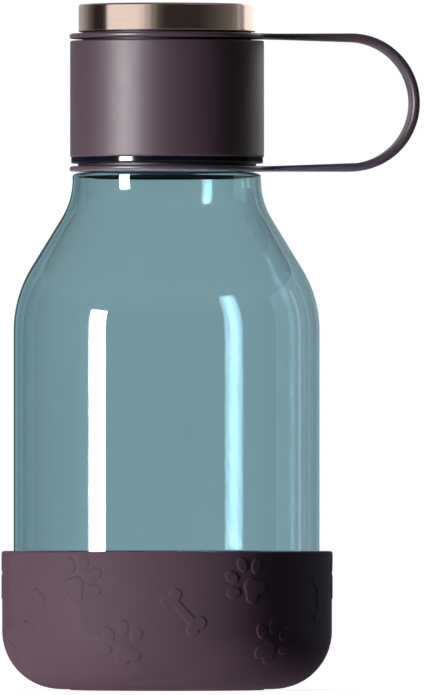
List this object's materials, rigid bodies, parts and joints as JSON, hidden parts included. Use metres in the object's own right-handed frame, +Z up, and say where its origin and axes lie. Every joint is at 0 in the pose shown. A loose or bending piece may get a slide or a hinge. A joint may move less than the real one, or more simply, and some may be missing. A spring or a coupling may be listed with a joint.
{
  "type": "dog travel water bottle",
  "caption": "Clear travel water bottle with a screw lid and a swivelling carry loop, standing in a soft bowl that a dog drinks from.",
  "frame": {"origin": "on the bottle's axis, on the surface that the bowl stands on", "axes": "+Z up along the bottle's axis, +X towards the carry handle at rest"},
  "size_m": [0.1525, 0.1204, 0.2502],
  "materials": {
    "bowl_silicone": "matte silicone",
    "bottle_clear": "clear tinted",
    "lid_black": "gloss",
    "lid_plum": "satin",
    "handle_plum": "satin",
    "cover_metal": "brushed",
    "seal_silicone": "matte silicone",
    "bond": "matte"
  },
  "bodies": {
    "bowl": {"bowl": "bowl_silicone"},
    "bottle": {"bottle_body": "bottle_clear"},
    "seal": {"lid_gasket": "seal_silicone"},
    "lid": {"lid_liner": "lid_black", "lid_shell": "lid_plum", "cover_adhesive": "bond", "lid_top_cover": "cover_metal"},
    "handle": {"carry_handle": "handle_plum"}
  },
  "joints": [
    {"name": "bottle_lift", "type": "slide", "parent": "bowl", "child": "bottle", "axis": [0, 0, 1], "range_m": [0, 0.055]},
    {"name": "lid_lift", "type": "slide", "parent": "bottle", "child": "seal", "axis": [0, 0, 1], "range_m": [0, 0.036]},
    {"name": "lid_turn", "type": "hinge", "parent": "seal", "child": "lid", "pos_m": [0, 0, 0.2], "axis": [0, 0, 1], "range_deg": [0, 1080]},
    {"name": "handle_swivel", "type": "hinge", "parent": "lid", "child": "handle", "pos_m": [0, 0, 0.2145], "axis": [0, 0, 1], "continuous": true}
  ],
  "couplings": [
    {"joint": "lid_lift", "follows": "lid_turn", "m_per_rad": 0.0019098}
  ]
}
